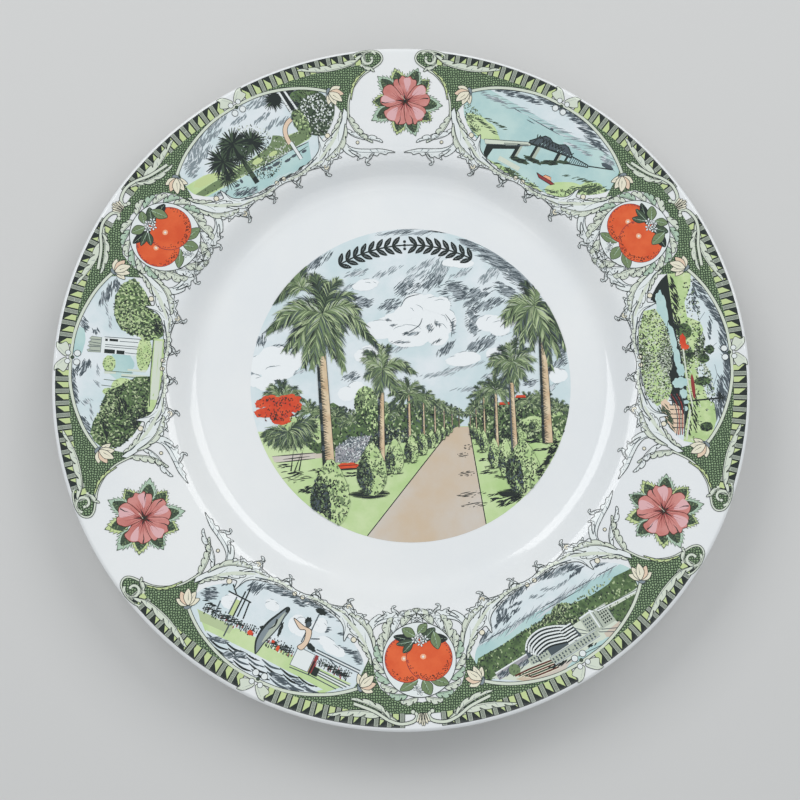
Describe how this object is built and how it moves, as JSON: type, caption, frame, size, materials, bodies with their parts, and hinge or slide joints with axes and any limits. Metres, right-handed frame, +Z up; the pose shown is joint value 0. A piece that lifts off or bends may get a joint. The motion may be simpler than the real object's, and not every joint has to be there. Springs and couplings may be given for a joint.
{
  "type": "souvenir plate",
  "caption": "Round wide-rimmed glazed plate with a flat well, a low foot ring, a round printed picture and a printed rim border.",
  "frame": {"origin": "centre of the foot ring, on the surface that the plate stands on", "axes": "+Z up along the plate's axis, out of the decorated face; +Y towards the top of the printed picture; +X towards its right"},
  "size_m": [0.254, 0.254, 0.0223],
  "materials": {
    "glazed_earthenware": "clear glossy glaze over white earthenware",
    "scene_print": "ceramic colours under a glossy glaze",
    "border_print": "ceramic colours under a glossy glaze",
    "flower_print": "ceramic colours under a glossy glaze"
  },
  "bodies": {
    "root": {"plate_body": "glazed_earthenware", "scene_transfer": "scene_print", "border_transfer_left": "border_print", "border_transfer_right": "border_print", "border_transfer_lower": "border_print", "flower_transfer_top": "flower_print", "flower_transfer_right": "flower_print", "flower_transfer_left": "flower_print"}
  },
  "joints": []
}
